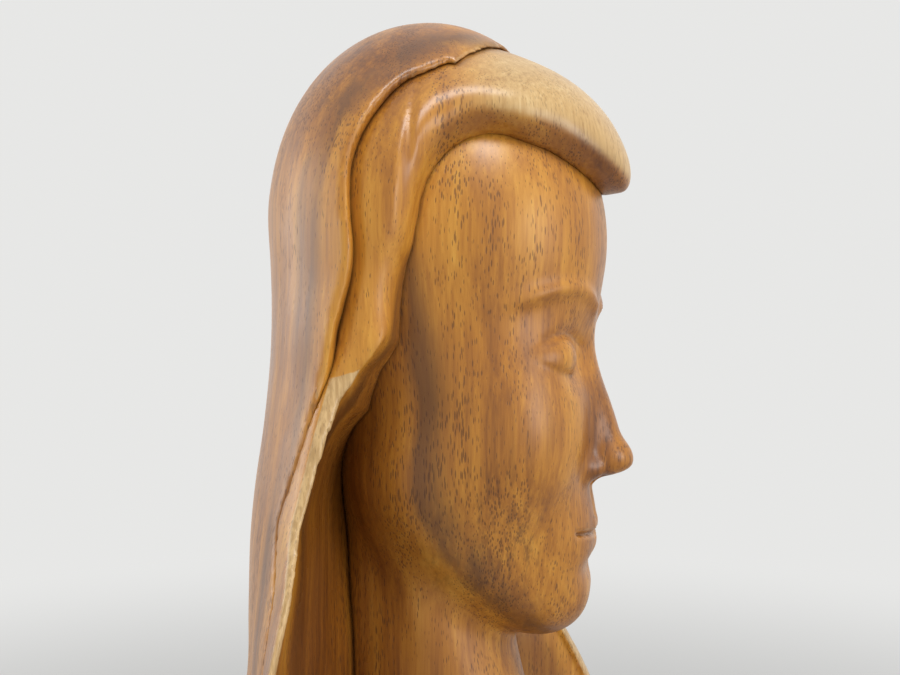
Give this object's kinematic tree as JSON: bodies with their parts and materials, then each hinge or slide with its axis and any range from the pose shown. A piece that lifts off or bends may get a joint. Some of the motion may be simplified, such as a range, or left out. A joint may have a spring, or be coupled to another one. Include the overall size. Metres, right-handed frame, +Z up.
{
  "type": "madonna statue",
  "caption": "Tall carved wooden figure of a veiled woman with praying hands and turned head, built from glued and dowelled blocks on an oval plinth.",
  "frame": {"origin": "centre of the felt's underside, where the statue rests", "axes": "+Z up through the plinth's centre; -Y is the way the body faces; +X is the figure's left"},
  "size_m": [0.18, 0.152, 0.64],
  "materials": {
    "carved_wood": "satin lacquer over golden-brown hardwood with open pores",
    "edge_wood": "satin lacquer, paler sapwood at the outer edges",
    "plinth_wood": "satin lacquer, darker",
    "dowel_wood": "plain, unfinished",
    "felt": "matt felt",
    "screw_steel": "plain"
  },
  "bodies": {
    "root": {"plinth": "plinth_wood", "base_felt": "felt", "base_screws": "screw_steel", "base_dowels": "dowel_wood", "robe": "carved_wood", "mantle": "carved_wood", "mantle_dowels": "dowel_wood", "veil": "carved_wood", "veil_dowels": "dowel_wood", "coif": "edge_wood", "head": "carved_wood", "neck_dowel": "dowel_wood", "left_sleeve": "carved_wood", "right_sleeve": "carved_wood", "sleeve_dowels": "dowel_wood", "left_hand": "carved_wood", "right_hand": "carved_wood", "wrist_dowels": "dowel_wood"}
  },
  "joints": []
}
